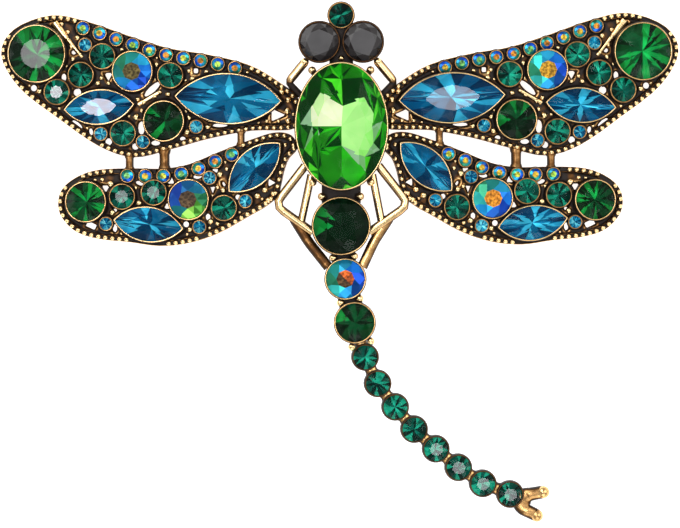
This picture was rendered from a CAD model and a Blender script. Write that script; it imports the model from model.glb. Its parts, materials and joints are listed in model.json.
# %% [markdown]
# # A jewelled dragonfly brooch
# The brooch is a cast frame of antiqued gold with glass stones set in it. Its solids are already
# fixed, with every stone in its place, so this lesson dresses them: it reads where each stone lies,
# cuts finer stones there, and works the metal round them as a jeweller would, setting by setting.
# Shapes are arrays of numpy: a profile carried round a path, or a height worked out over a grid.

# %% Load the fixed solids
import json
import math

import bpy
import numpy as np
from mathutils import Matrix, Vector


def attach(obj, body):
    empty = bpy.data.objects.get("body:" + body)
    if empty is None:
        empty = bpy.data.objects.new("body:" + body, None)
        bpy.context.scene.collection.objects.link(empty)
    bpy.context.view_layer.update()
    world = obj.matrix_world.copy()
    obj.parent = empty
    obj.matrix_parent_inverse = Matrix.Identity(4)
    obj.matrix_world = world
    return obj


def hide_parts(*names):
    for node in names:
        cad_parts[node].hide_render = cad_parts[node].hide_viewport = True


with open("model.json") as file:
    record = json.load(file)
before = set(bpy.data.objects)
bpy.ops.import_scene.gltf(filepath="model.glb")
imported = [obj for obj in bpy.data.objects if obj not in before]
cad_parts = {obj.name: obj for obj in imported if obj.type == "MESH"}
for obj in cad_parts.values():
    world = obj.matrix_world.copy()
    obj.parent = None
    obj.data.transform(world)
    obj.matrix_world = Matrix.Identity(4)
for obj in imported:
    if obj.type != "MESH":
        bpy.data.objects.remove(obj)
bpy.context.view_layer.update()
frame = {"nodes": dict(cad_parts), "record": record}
nodes = frame["nodes"]
MM = 0.001
rng = np.random.default_rng(seed=7)
print("solids:", len(nodes))

# %% [markdown]
# ## Reading the stones
# A cut stone tells how it lies: its axis runs from the lowest corner, the culet, to the middle of
# all its corners, and its long side points to the corner furthest from that axis. A node may hold
# several loose stones, so its triangles are first sorted into solids by spreading labels along them.

# %% Sort a node into its solids


def loose_solids(node):
    """The corners of each solid of a node, in mm. A corner's label sinks to the lowest of its triangles'."""
    mesh = nodes[node].data
    mesh.calc_loop_triangles()
    places = np.empty(3 * len(mesh.vertices))
    mesh.vertices.foreach_get("co", places)
    places = np.round(places.reshape(-1, 3) / MM, 4)
    triangles = np.empty(3 * len(mesh.loop_triangles), int)
    mesh.loop_triangles.foreach_get("vertices", triangles)
    corners, same = np.unique(places, axis=0, return_inverse=True)
    triangles = same.reshape(-1)[triangles].reshape(-1, 3)
    label = np.arange(len(corners))
    settled = False
    while not settled:
        sunk = label.copy()
        np.minimum.at(sunk, triangles.ravel(), np.repeat(label[triangles].min(axis=1), 3))
        settled = bool((sunk == label).all())
        label = sunk
    return [corners[label == k] for k in np.unique(label)]


# %% Measure how a stone lies
NAVETTE_RATIO = 1.7


def unit(v):
    """A vector, or each of an array of vectors, divided by its length."""
    return v / np.linalg.norm(v, axis=-1, keepdims=True)


def left_of(v):
    """A flat vector, or each of an array of them, turned a quarter turn to the left."""
    return np.stack([-v[..., 1], v[..., 0]], axis=-1)


def measure(corners):
    """Culet, axis, long and short direction, half sizes and heights of a stone, from its corners."""
    culet = corners[corners[:, 2].argmin()]
    axis = unit(corners.mean(axis=0) - culet)
    height = (corners - culet) @ axis
    level = np.unique(np.round(height, 3))
    out = corners - culet - height[:, None] * axis
    far = np.linalg.norm(out, axis=1)
    along = unit(out[far.argmax()])
    across = np.cross(axis, along)
    half_length, half_width = far.max(), np.abs(out @ across).max()
    # Levels from below: culet, lower and upper edge of the girdle, star facets, table.
    return {
        "axis": axis, "along": along, "across": across,
        "middle": culet + level[2] * axis, "half": (half_length, half_width),
        "navette": half_length > NAVETTE_RATIO * half_width,
        "pavilion": level[1], "girdle": level[2] - level[1], "crown": level[-1] - level[2],
    }


stones = {n: [measure(s) for s in loose_solids(n)] for n in nodes if n not in ("casting", "pin_back")}
print("stones:", sum(len(s) for s in stones.values()), "in", len(stones), "nodes")

# %% [markdown]
# ## Shapes as arrays
# Every metal shape here is closed: rings of corners joined in a row, its two ends either joined to
# each other, as in a hoop, or drawn to a point. A shape also carries how polished each corner is,
# because antiqued gold is bright where fingers and cloth rub it and dark where they don't reach.

# %% Rings joined into a closed skin


def faces(*corners):
    """Faces from the numbers of their first corners, their second corners, and so on."""
    return np.stack(np.broadcast_arrays(*corners), axis=-1)


def skin(rings, polish, hoop=False):
    """Rings (rings, corners, 3) joined by quads; the ends meet, or close on their middles."""
    rows, cols = rings.shape[:2]
    index = np.arange(rows * cols).reshape(rows, cols)
    nxt = np.roll(index, -1, axis=1)
    below, below_next = (np.roll(a, -1, axis=0) for a in (index, nxt))
    last = rows if hoop else rows - 1
    quads = faces(index, nxt, below_next, below)[:last].reshape(-1, 4)
    polish = np.broadcast_to(polish, (rows, cols)).ravel()
    if hoop:
        return {"co": rings.reshape(-1, 3), "quads": quads, "tris": np.empty((0, 3), int), "polish": polish}
    ends = rings[[0, -1]].mean(axis=1)
    first = rows * cols
    tris = np.concatenate([faces(nxt[0], index[0], first), faces(index[-1], nxt[-1], first + 1)])
    return {
        "co": np.concatenate([rings.reshape(-1, 3), ends]), "quads": quads, "tris": tris,
        "polish": np.concatenate([polish, [polish[0], polish[-1]]]),
    }


def copies(shape, centres, sizes):
    """One small shape repeated at centres: its corners times a size, or each size, plus each centre."""
    count, corners = len(centres), len(shape["co"])
    shift = (np.arange(count) * corners)[:, None, None]
    co = shape["co"][None] * np.reshape(sizes, (-1, 1, 1)) + np.asarray(centres)[:, None, :]
    return {
        "co": co.reshape(-1, 3), "quads": (shape["quads"][None] + shift).reshape(-1, 4),
        "tris": (shape["tris"][None] + shift).reshape(-1, 3), "polish": np.tile(shape["polish"], count),
    }


def joined(shapes):
    """Several shapes as one, with the corner numbers of each moved past those before it."""
    starts = np.cumsum([0] + [len(s["co"]) for s in shapes[:-1]])
    return {
        "co": np.concatenate([s["co"] for s in shapes]),
        "quads": np.concatenate([s["quads"] + k for s, k in zip(shapes, starts)]),
        "tris": np.concatenate([s["tris"] + k for s, k in zip(shapes, starts)]),
        "polish": np.concatenate([s["polish"] for s in shapes]),
    }


# %% [markdown]
# A closed shape's faces point outwards when the volume they enclose comes out positive. Measuring
# that is surer than keeping track of every mirror and turn, so each shape is tested and, if it is
# inside out, its faces are run the other way.

# %% Turn a shape the right way out and make it a piece
SHARP_ANGLE = math.radians(48)


def outwards(shape):
    """Reverses all faces if the sum of the tetrahedra from the origin to them is negative."""
    co = shape["co"] - shape["co"].mean(axis=0)
    fans = np.concatenate([shape["quads"][:, [0, 1, 2]], shape["quads"][:, [0, 2, 3]], shape["tris"]])
    a, b, c = (co[fans[:, k]] for k in range(3))
    if np.einsum("ij,ij->", a, np.cross(b, c)) >= 0:
        return shape
    return {**shape, "quads": shape["quads"][:, ::-1], "tris": shape["tris"][:, ::-1]}


def mesh_of(name, co, quads, tris):
    """A mesh from corners in mm and arrays of four-sided and three-sided faces."""
    mesh = bpy.data.meshes.new(name)
    mesh.vertices.add(len(co))
    mesh.vertices.foreach_set("co", (co * MM).ravel())
    mesh.loops.add(quads.size + tris.size)
    mesh.loops.foreach_set("vertex_index", np.concatenate([quads.ravel(), tris.ravel()]))
    sides = np.concatenate([np.full(len(quads), 4), np.full(len(tris), 3)])
    mesh.polygons.add(len(sides))
    mesh.polygons.foreach_set("loop_start", np.cumsum(sides) - sides)
    mesh.polygons.foreach_set("loop_total", sides)
    mesh.update(calc_edges=True)
    mesh.validate()
    return mesh


def put(name, data):
    """Puts a mesh, a lamp or a camera into the scene."""
    thing = bpy.data.objects.new(name, data)
    bpy.context.scene.collection.objects.link(thing)
    return thing


def add_piece(name, mesh, materials, slot, *replaced):
    """Puts in a finished mesh as a piece that rides on the brooch and stands for the replaced nodes."""
    piece = put(name, mesh)
    for material in materials:
        mesh.materials.append(material)
    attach(piece, "root")
    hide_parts(*replaced)
    return piece


def metal_piece(name, shapes):
    """Joins metal shapes into one smooth piece with its polish as an attribute."""
    whole = joined([outwards(s) for s in shapes])
    mesh = mesh_of(name, whole["co"], whole["quads"], whole["tris"])
    mesh.attributes.new("polish", "FLOAT", "POINT").data.foreach_set("value", whole["polish"])
    mesh.shade_smooth()
    mesh.set_sharp_from_angle(angle=SHARP_ANGLE)
    print(f"{name}: {2 * len(whole['quads']) + len(whole['tris'])} triangles")
    return add_piece(name, mesh, [antique_gold], "antique_gold", "casting")


# %% [markdown]
# ## Antiqued gold
# The plating is a pale yellow gold. After plating, the maker brushes on a dark brown patina and wipes
# it off again, so it stays in the corners. One material does both: the polish of a corner, roughened
# by noise, moves the colour from patina through bronze to pale gold, and the surface from dull to
# glossy. A fine bump gives the skin of a casting.

# %% Helpers for materials


def new_material(name):
    """A new material, its nodes, its shader, and a short way to add a node with some inputs set."""
    material = bpy.data.materials.new(name)
    material.use_nodes = True
    tree = material.node_tree

    def add(kind, **inputs):
        node = tree.nodes.new(kind)
        set_inputs(node, **inputs)
        return node

    return material, tree, tree.nodes["Principled BSDF"], add


def set_inputs(node, **inputs):
    """Sets input sockets of a node by their names, with _ for a space."""
    for key, value in inputs.items():
        node.inputs[key.replace("_", " ")].default_value = value


def ramp(tree, stops):
    """A colour ramp with the given (place, colour) stops. A single number stands for a grey."""
    node = tree.nodes.new("ShaderNodeValToRGB")
    while len(node.color_ramp.elements) < len(stops):
        node.color_ramp.elements.new(0.5)
    for element, (place, colour) in zip(node.color_ramp.elements, stops):
        element.position = place
        element.color = (*np.broadcast_to(colour, 3), 1)
    return node


# %% Gold with patina
PATINA = (0.012, 0.006, 0.003)
BRONZE = (0.15, 0.065, 0.02)
GOLD = (0.72, 0.42, 0.16)
PALE_GOLD = (1.0, 0.73, 0.37)
# What each socket gets along the polish, from dark corners to rubbed edges.
GOLD_STOPS = {
    "Base Color": [(0.15, PATINA), (0.42, BRONZE), (0.68, GOLD), (1.0, PALE_GOLD)],
    "Roughness": [(0.1, 0.55), (0.5, 0.3), (0.9, 0.16)],
    "Metallic": [(0.1, 0.35), (0.4, 1.0)],
}
# Noises as their number of swells in a metre: a mottle of a millimetre, a grit a sixth of it.
MOTTLE, GRIT = 900.0, 5200.0
MOTTLE_SHARE = 0.5
EVEN_POLISH = 0.7
GRIT_STRENGTH, GRIT_DEPTH = 0.35, 0.00004


def make_gold(name, attribute_share):
    """Antiqued gold. attribute_share is how much the polish attribute counts; 0 is even metal."""
    material, tree, shader, add = new_material(name)
    link = tree.links.new
    place = tree.nodes.new("ShaderNodeTexCoord").outputs["Object"]
    mottle = add("ShaderNodeTexNoise", Scale=MOTTLE, Detail=3.0)
    grit = add("ShaderNodeTexNoise", Scale=GRIT, Detail=2.0)
    for noise in (mottle, grit):
        link(place, noise.inputs["Vector"])
    attribute = tree.nodes.new("ShaderNodeAttribute")
    attribute.attribute_name = "polish"

    def times(fact, share):
        """A node that gives fact x share plus what its third socket is told."""
        step = tree.nodes.new("ShaderNodeMath")
        step.operation = "MULTIPLY_ADD"
        link(fact, step.inputs[0])
        step.inputs[1].default_value = share
        return step

    mottled = times(mottle.outputs["Fac"], MOTTLE_SHARE)
    mottled.inputs[2].default_value = (0.0 if attribute_share else EVEN_POLISH) - MOTTLE_SHARE / 2
    polish = times(attribute.outputs["Fac"], attribute_share)
    link(mottled.outputs["Value"], polish.inputs[2])
    for socket, stops in GOLD_STOPS.items():
        node = ramp(tree, stops)
        link(polish.outputs["Value"], node.inputs["Fac"])
        link(node.outputs["Color"], shader.inputs[socket])
    bump = add("ShaderNodeBump", Strength=GRIT_STRENGTH, Distance=GRIT_DEPTH)
    link(grit.outputs["Fac"], bump.inputs["Height"])
    link(bump.outputs["Normal"], shader.inputs["Normal"])
    return material


antique_gold = make_gold("antique_gold", 1.0)
pin_metal = make_gold("pin_metal", 0.0)
nodes["pin_back"].data.materials.clear()
nodes["pin_back"].data.materials.append(pin_metal)
print("materials:", antique_gold.name, pin_metal.name)

# %% [markdown]
# ## Glass
# A stone of this kind is clear coloured glass with a mirror foil painted on its back. What one sees is
# the foil's facets, tinted and bent by the glass in front. So a stone gets glass on its front, and on
# its back a coloured mirror whose facets differ in shade. Some fronts differ: a coated stone has a
# coloured film on it, a black one lets nothing through, and a table that mirrors a window is glossier.

# %% Glass and foil
GLASS_IOR = 1.56
SMOOTH = (500.0, 0.8, 1.0)
# Columns: clearness, metal, roughness, strength of the surface reflection, then unevenness as swells in
# a metre with the lowest and the highest brightness, and glow, which stands for the light that the
# facets of a cut stone throw from one to another.
GEMS = {
    "glass_front": (1.0, 0.0, 0.0, 0.06, SMOOTH, 0.0),
    "coated_front": (0.12, 0.55, 0.1, 0.2, SMOOTH, 0.0),
    "coated_table": (0.0, 0.2, 0.25, 0.25, (2600.0, 0.25, 1.0), 0.0),
    "foil_back": (0.0, 0.4, 0.18, 0.0, SMOOTH, 0.3),
    "pale_back": (0.0, 0.0, 0.3, 0.2, (500.0, 0.9, 1.0), 0.45),
    "black_front": (0.0, 0.0, 0.12, 0.4, (500.0, 0.85, 1.0), 0.0),
    "glossy_table": (1.0, 0.0, 0.0, 0.5, SMOOTH, 0.0),
}
FRONT, COATED, COATED_TABLE, FOIL, PALE, BLACK, GLOSSY = range(len(GEMS))


def make_gem(name, clear, metallic, rough, mirror, unevenness, glow):
    """Glass or foil whose colour is the shade of each facet times a faint unevenness."""
    material, tree, shader, add = new_material(name)
    link = tree.links.new
    set_inputs(shader, Transmission_Weight=clear, Metallic=metallic, IOR=GLASS_IOR, Roughness=rough,
               Specular_Tint=(2 * mirror,) * 3 + (1.0,), Emission_Strength=glow)
    facet = tree.nodes.new("ShaderNodeAttribute")
    facet.attribute_name = "shade"
    scale, low, high = unevenness
    cloud = add("ShaderNodeTexNoise", Scale=scale, Detail=1.0)
    link(tree.nodes.new("ShaderNodeTexCoord").outputs["Object"], cloud.inputs["Vector"])
    light = ramp(tree, [(0.35, low), (0.65, high)])
    link(cloud.outputs["Fac"], light.inputs["Fac"])
    mix = tree.nodes.new("ShaderNodeVectorMath")
    mix.operation = "MULTIPLY"
    link(facet.outputs["Vector"], mix.inputs[0])
    link(light.outputs["Color"], mix.inputs[1])
    for socket in ("Base Color", "Emission Color"):
        link(mix.outputs["Vector"], shader.inputs[socket])
    return material


gem_materials = [make_gem(name, *row) for name, row in GEMS.items()]

# Shades of the fronts' facets, then of the foils': a dark, a middle and a light one.
GLASSES = {
    "peridot_glass": [(0.45, 0.85, 0.35), (0.75, 0.98, 0.65), (0.97, 1.0, 0.9),
                      (0.01, 0.2, 0.01), (0.05, 0.75, 0.02), (0.85, 1.0, 0.55)],
    "emerald_glass": [(0.2, 0.5, 0.42), (0.5, 0.85, 0.75), (0.9, 1.0, 0.97),
                      (0.004, 0.03, 0.025), (0.006, 0.13, 0.095), (0.02, 0.5, 0.33)],
    "dark_green_glass": [(0.2, 0.45, 0.25), (0.5, 0.8, 0.55), (0.9, 1.0, 0.92),
                         (0.005, 0.022, 0.01), (0.006, 0.09, 0.03), (0.01, 0.45, 0.09)],
    "blue_glass": [(0.25, 0.6, 0.75), (0.6, 0.9, 1.0), (0.93, 1.0, 1.0),
                   (0.003, 0.05, 0.12), (0.006, 0.16, 0.32), (0.06, 0.6, 0.85)],
    "turquoise_glass": [(0.25, 0.65, 0.85), (0.55, 0.9, 1.0), (0.9, 1.0, 1.0),
                        (0.004, 0.1, 0.22), (0.02, 0.4, 0.65), (0.25, 0.9, 1.0)],
    "black_glass": [(0.012, 0.01, 0.01), (0.025, 0.022, 0.022), (0.04, 0.037, 0.037),
                    (0.004, 0.003, 0.003), (0.01, 0.01, 0.01), (0.03, 0.03, 0.03)],
}
# The coated stones shine in other colours on each side, from the right anticlockwise: mostly blue,
# or green below on a stone that is turned the other way.
COATING = {
    "blue": [(0.01, 0.1, 0.75), (0.01, 0.22, 0.85), (0.03, 0.5, 0.85), (0.03, 0.5, 0.45),
             (0.03, 0.3, 0.16), (0.05, 0.65, 0.6), (0.02, 0.4, 0.9), (0.01, 0.15, 0.7)],
    "green": [(0.02, 0.22, 0.09), (0.03, 0.35, 0.6), (0.02, 0.25, 0.65), (0.02, 0.1, 0.65),
              (0.02, 0.14, 0.7), (0.02, 0.35, 0.4), (0.3, 0.75, 0.1), (0.12, 0.5, 0.06)],
}
print("materials of the stones:", *GEMS)

# %% [markdown]
# ## Cutting the stones
# The cut is a brilliant: a flat table, star facets and kites round it, thin upper halves down to the
# girdle, and below it long mains and halves that meet in the culet. Its corners lie on rings at equal
# turns, and each ring's height is chosen so that the kites and the mains are flat.

# %% The edge of a stone and the cut


def arc_of(stone):
    """Radius of the two arcs of a navette, and how far their middles are from the stone's."""
    a, b = stone["half"]
    radius = (a * a + b * b) / (2 * b)
    return radius, radius - b


def edge_of(stone, turns, grow=0.0):
    """Points of a stone's edge in its own plane: an ellipse, or the two arcs of a navette, which meet
    in a point. grow moves the edge outwards."""
    if not stone["navette"]:
        a, b = stone["half"]
        return np.stack([(a + grow) * np.cos(turns), (b + grow) * np.sin(turns)], axis=-1)
    radius, offset = arc_of(stone)
    radius = radius + grow
    x = np.sqrt(radius * radius - offset * offset) * np.cos(turns)
    y = np.sqrt(np.maximum(radius**2 - x * x, 0)) - offset
    return np.stack([x, np.sign(np.sin(turns)) * y], axis=-1)


def heading(stone):
    """The angle of a stone's long direction, seen from the front."""
    return math.atan2(stone["along"][1], stone["along"][0])


def set_in(stone, flat, height):
    """Carries points of a stone's own plane, at a height over its girdle, into the brooch."""
    height = np.broadcast_to(height, flat.shape[:-1])
    return (stone["middle"] + flat[..., :1] * stone["along"] + flat[..., 1:] * stone["across"]
            + height[..., None] * stone["axis"])


# How far out two rings lie, as a share of the edge: the foot of the star facets, and below the girdle
# the corners of the mains, the large facets that meet in the culet.
STAR_RING, MAIN_RING = 0.78, 0.28
TABLE, STAR, UPPER_HALF, KITE, GIRDLE, LOWER_HALF, MAIN, PANE = range(8)
QUAD_KINDS = [KITE, GIRDLE, MAIN]
TRI_KINDS = [TABLE, STAR, UPPER_HALF, UPPER_HALF, LOWER_HALF, LOWER_HALF]


def cut_stone(stone, table, mains):
    """Corners and faces of a brilliant, and the kind and main of each face. Rings are at turns k or
    k + 1/2 of a main. A kite is flat when the star ring's height is (1 - ring cos(half a main)) /
    (1 - table) of the crown."""
    k = np.arange(mains)
    step = 2 * np.pi / mains
    halves = np.arange(2 * mains) * step / 2
    c = math.cos(step / 2)
    crown, girdle, pavilion = stone["crown"], stone["girdle"], stone["pavilion"]
    edge, whole = edge_of(stone, halves), edge_of(stone, k * step)
    top = table * edge_of(stone, (k + 0.5) * step)
    rings = [
        set_in(stone, top, crown + top @ stone["tilt"]),
        set_in(stone, STAR_RING * whole, crown * (1 - STAR_RING * c) / (1 - table)),
        set_in(stone, edge, 0.0),
        set_in(stone, edge, -girdle),
        set_in(stone, MAIN_RING * whole, -girdle - pavilion * (1 - MAIN_RING * c)),
        set_in(stone, np.zeros((2, 2)), np.array([crown, -girdle - pavilion])),
    ]
    first, star, upper, lower, main, centre, _ = np.cumsum([0] + [len(r) for r in rings])
    j = (k + 1) % mains
    odd, even, even_next = 2 * k + 1, 2 * k, 2 * j
    at = np.arange(2 * mains)
    nxt = (at + 1) % (2 * mains)
    tris = [
        faces(first + k, first + j, centre),
        faces(first + k, star + j, first + j),
        faces(star + k, upper + even, upper + odd),
        faces(star + j, upper + odd, upper + even_next),
        faces(main + k, lower + odd, lower + even),
        faces(main + j, lower + even_next, lower + odd),
    ]
    quads = [
        faces(first + k, star + k, upper + odd, star + j),
        faces(upper + at, lower + at, lower + nxt, upper + nxt),
        faces(lower + odd, main + k, centre + 1, main + j),
    ]
    kinds = np.concatenate([np.repeat(QUAD_KINDS, [len(q) for q in quads]), np.repeat(TRI_KINDS, mains)])
    main_of = np.concatenate([k, at // 2, k] + [k] * len(tris))
    return np.concatenate(rings), np.concatenate(quads), np.concatenate(tris), kinds, main_of


# %% [markdown]
# Stones are never set quite level. The lean of a table is drawn by chance, unless its stone is one
# whose table mirrors a window: it is then turned half way between the window and the eye. The left
# wings droop towards two windows, so their other tables are turned back part of the way.

# %% The lean of every table
# Places of the windows, in metres.
WINDOW = (-0.3, 0.05, 1.5)
DIM_WINDOW = (-0.22, -0.34, 1.5)
SIDE_WINDOW = (0.3, 0.21, 1.5)
SMALL_LEAN = 0.03
# A normal that leans away from the windows on the left, and the part of the way that tables turn to it.
AWAY, TURNED_BACK = (0.12, 0.0, 1.0), 0.5
LEVEL = ("tip_stone", "eye", "thorax", "waist")
MIRRORS = {"left_upper_short": WINDOW, "right_upper_long": SIDE_WINDOW, "left_upper_tip": DIM_WINDOW}
MIRRORS.update({f"tail_stone_{k}": DIM_WINDOW for k in (5, 6, 7, 8)})
# The outermost of these small stones: how many of them, and what they mirror.
SMALL_MIRRORS = {"left_upper_emeralds": (1, WINDOW), "left_lower_emeralds": (2, DIM_WINDOW)}


def slope_to(stone, normal):
    """The slope, along and across the stone, of a table that has this normal."""
    return -np.array([normal @ stone["along"], normal @ stone["across"]]) / (normal @ stone["axis"])


for node, group in stones.items():
    group.sort(key=lambda s: -abs(s["middle"][0]))
    listed = next((w for k, w in MIRRORS.items() if k in node), None)
    few, small = SMALL_MIRRORS.get(node, (0, None))
    lean = 0.0 if any(k in node for k in LEVEL) else SMALL_LEAN
    for k, stone in enumerate(group):
        mirrors = small if k < few else listed
        stone["tilt"] = lean * unit(rng.normal(size=2))
        stone["glossy"] = bool(mirrors)
        if mirrors:
            stone["tilt"] = slope_to(stone, unit(unit(np.array(mirrors)) + [0, 0, 1]))
        elif node.startswith("left"):
            stone["tilt"] = stone["tilt"] + TURNED_BACK * slope_to(stone, unit(np.array(AWAY)))
print("tables that mirror a window:", sum(s["glossy"] for group in stones.values() for s in group))

# %% [markdown]
# Facets of plain stones take a dark, a middle or a light shade by chance. On a coated stone the facets
# of one side take the colour of that side, and its table has a colour of its own.

# %% The shade of every facet
# Chances of a dark, a middle and a light facet.
CHANCES = {"waist": (0.78, 0.14, 0.08), "green": (0.5, 0.38, 0.12), "upper_tip": (0.28, 0.34, 0.38),
           "lower_tip": (0.4, 0.42, 0.18), "head": (0.6, 0.3, 0.1), "navette": (0.36, 0.36, 0.28),
           "": (0.32, 0.43, 0.25)}
OPAL_TABLES = {
    "left_upper_opal_stone": [(0.16, 0.12, 0.03)], "left_lower_opal_stone": [(0.12, 0.07, 0.03)],
    "right_upper_opal_stone": [(0.95, 0.5, 0.04)], "right_lower_opal_stone": [(0.95, 0.35, 0.03)],
    "abdomen_opal_stone": [(0.8, 0.15, 0.02), (0.12, 0.06, 0.02)],
    "": [(0.95, 0.6, 0.05), (0.8, 0.85, 0.08), (0.5, 0.85, 0.1), (0.9, 0.35, 0.03), (0.2, 0.6, 0.15)],
}
BLACK_TABLE = (0.068, 0.066, 0.068)
# Half lengths in mm under which a coated stone is a small one, and over which an emerald is dark.
SMALL_COATED, LARGE_EMERALD = 2, 3
# Lowest and highest brightness by chance: of a side, a facet and a table part of a coated stone.
SIDE_LIGHT, FACET_LIGHT, TABLE_LIGHT = (0.45, 1.2), (0.9, 1.1), (0.55, 1.25)
# How far to one side a back facet of the waist stone has to lie to be lively is drawn between these.
LIVELY = (0.55, 1.1)


def slot_of(node):
    """The material slot that the record gives a node."""
    return next(s["material_slot"] for s in frame["record"]["subparts"] if s["node"] == node)


def first_of(table, node):
    """The entry of a table whose key is part of a node's name."""
    return next(v for k, v in table.items() if k in node)


def coated_shades(node, stone, kinds, main_of):
    """The colours of a coated stone's facets. A small stone is turned by chance, and one of the table
    colours is drawn for it. A table of two colours has the second on its lower left half."""
    mains = main_of.max() + 1
    turn = heading(stone) / (2 * np.pi)
    is_small = stone["half"][0] < SMALL_COATED
    coating = np.array(COATING["green" if node == "left_lower_opal_stone" else "blue"])
    turned = rng.integers(len(coating)) if is_small else 0
    side = np.floor(((main_of + 0.5) / mains + turn) * len(coating) + 1).astype(int) + turned
    shade = coating[side % len(coating)] * rng.uniform(*SIDE_LIGHT, mains)[main_of][:, None]
    shade = shade * rng.uniform(*FACET_LIGHT, (len(kinds), 1))
    warm = np.array(first_of(OPAL_TABLES, node))
    if is_small:
        warm = warm[[rng.integers(len(warm))]]
    flat = kinds == TABLE
    second = ((main_of[flat] / mains + turn) % 1 + 0.25) % 1 > 0.5
    shade[flat] = warm[second.astype(int) % len(warm)] * rng.uniform(*TABLE_LIGHT, (flat.sum(), 1))
    return np.minimum(shade, 1)


def shades_of(node, stone, slot, kinds, main_of):
    """The colour of each facet of a stone."""
    if slot == "opal_glass":
        return coated_shades(node, stone, kinds, main_of)
    dark = slot == "emerald_glass" and stone["half"][0] > LARGE_EMERALD
    palette = np.array(GLASSES["dark_green_glass" if dark else slot])
    pick = rng.choice(3, len(kinds), p=first_of(CHANCES, node))
    pick[kinds == TABLE] = 2
    if node == "waist_stone":
        # Nearly black, with a few lively facets to the left and to the right.
        turns = (main_of + 0.5) / (main_of.max() + 1) + heading(stone) / (2 * np.pi)
        aside = np.abs(np.cos(2 * np.pi * turns))
        pick[kinds >= LOWER_HALF] = 0
        pick[(kinds == LOWER_HALF) & (aside > rng.uniform(*LIVELY, len(kinds)))] = 2
    pick[kinds >= LOWER_HALF] += 3
    shade = palette[pick]
    if slot == "black_glass":
        shade[kinds == TABLE] = BLACK_TABLE
    return shade


# %% The oval's back
# Clockwise from the top: turn and radius of a corner of the inner ring, of the outer ring, then the
# colour of the facets that follow, from the middle out.
CREAM, LIME, BRIGHT, VIVID, GREEN, DEEP, MIST = (
    (1.0, 1.0, 0.75), (0.5, 1.0, 0.33), (0.15, 0.95, 0.06), (0.03, 0.6, 0.02), (0.02, 0.28, 0.015),
    (0.004, 0.06, 0.01), (0.3, 0.5, 0.33))
PANES = [
    (85, 0.32, 90, 0.7, LIME, DEEP, GREEN), (45, 0.58, 60, 0.85, LIME, DEEP, VIVID),
    (17, 0.63, 30, 0.85, LIME, VIVID, DEEP), (-1, 0.56, 5, 0.85, LIME, MIST, GREEN),
    (-23, 0.65, -25, 0.88, LIME, MIST, MIST), (-46, 0.62, -55, 0.85, LIME, MIST, GREEN),
    (-90, 0.31, -90, 0.75, GREEN, GREEN, DEEP), (-138, 0.51, -125, 0.82, GREEN, GREEN, VIVID),
    (-165, 0.5, -155, 0.85, GREEN, MIST, DEEP), (-180, 0.53, -182, 0.85, CREAM, MIST, VIVID),
    (-207, 0.63, -210, 0.85, CREAM, DEEP, MIST), (-232, 0.62, -242, 0.82, CREAM, GREEN, DEEP),
]
# A shade counts as pale if its red, green and blue are all over this.
PALE_FROM = 0.2
# How evenly a facet is split in three, and how many of the parts change colour.
SPLIT_EVENNESS, CHANGED = 3.0, 0.45
PANE_LIGHT = (0.85, 1.0)


def panes_between(stone, edge_count):
    """The facets between the middle of the back, two rings of chosen corners and the lower edge of the
    girdle, all on one shallow cone. Returns corners without the edge's, triangles that count the edge's
    corners first, and shades."""
    table = np.array([row[:4] for row in PANES])
    turns, share = np.radians(table[:, [0, 2]].T), table[:, [1, 3]].T
    count = len(PANES)
    level = heading(stone)
    flat = share[..., None] * edge_of(stone, turns - level)
    rings = [set_in(stone, f, -stone["girdle"] - stone["pavilion"] * (1 - s)) for f, s in zip(flat, share)]
    middle = set_in(stone, np.zeros((1, 2)), -stone["girdle"] - stone["pavilion"])
    inner = edge_count + np.arange(count)
    outer = inner + count
    start = np.round(-(turns[1] - level) / (2 * np.pi) * edge_count).astype(int)
    tris, shades = [], []
    for k, (*_, core, ring, shard) in enumerate(PANES):
        j = (k + 1) % count
        tris += [(inner[k], inner[j], edge_count + 2 * count), (inner[k], outer[k], inner[j]),
                 (outer[k], outer[j], inner[j])]
        shades += [core, ring, (ring, VIVID, DEEP)[rng.integers(3)]]
        steps = (start[j] - start[k]) % edge_count
        around = [(-start[k] - s) % edge_count for s in range(steps + 1)]
        half = (steps + 1) // 2
        tris += [(outer[k], a, b) for a, b in zip(around[:half], around[1:half + 1])]
        tris += [(outer[k], around[half], outer[j])]
        tris += [(outer[j], a, b) for a, b in zip(around[half:-1], around[half + 1:])]
        shades += [(shard, VIVID, GREEN, DEEP)[n] for n in rng.integers(4, size=steps + 1)]
    return np.concatenate(rings + [middle]), np.array(tris), np.array(shades)


def paned_back(stone, edge_count):
    """The back of the oval. Panes that aren't pale are split into three at a point within, and many of
    these parts change colour."""
    co, tris, shades = panes_between(stone, edge_count)
    pale = shades.min(axis=1) > PALE_FROM
    split, kept = tris[~pale], tris[pale]
    shares = rng.dirichlet((SPLIT_EVENNESS,) * 3, len(split))
    edge = set_in(stone, edge_of(stone, np.arange(edge_count) * 2 * np.pi / edge_count), -stone["girdle"])
    within = (np.concatenate([edge, co])[split] * shares[..., None]).sum(axis=1)
    point = edge_count + len(co) + np.arange(len(split))
    thirds = [faces(split[:, a], split[:, b], point) for a, b in ((0, 1), (1, 2), (2, 0))]
    tris = np.concatenate([kept] + thirds)
    shade = np.concatenate([shades[pale]] + [shades[~pale]] * 3)
    change = np.flatnonzero((rng.random(len(tris)) < CHANGED) & (shade.min(axis=1) <= PALE_FROM))
    shade[change] = np.array([VIVID, BRIGHT, GREEN, DEEP, DEEP])[rng.integers(5, size=len(change))]
    return np.concatenate([co, within]), tris, shade * rng.uniform(*PANE_LIGHT, (len(shade), 1))


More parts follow.
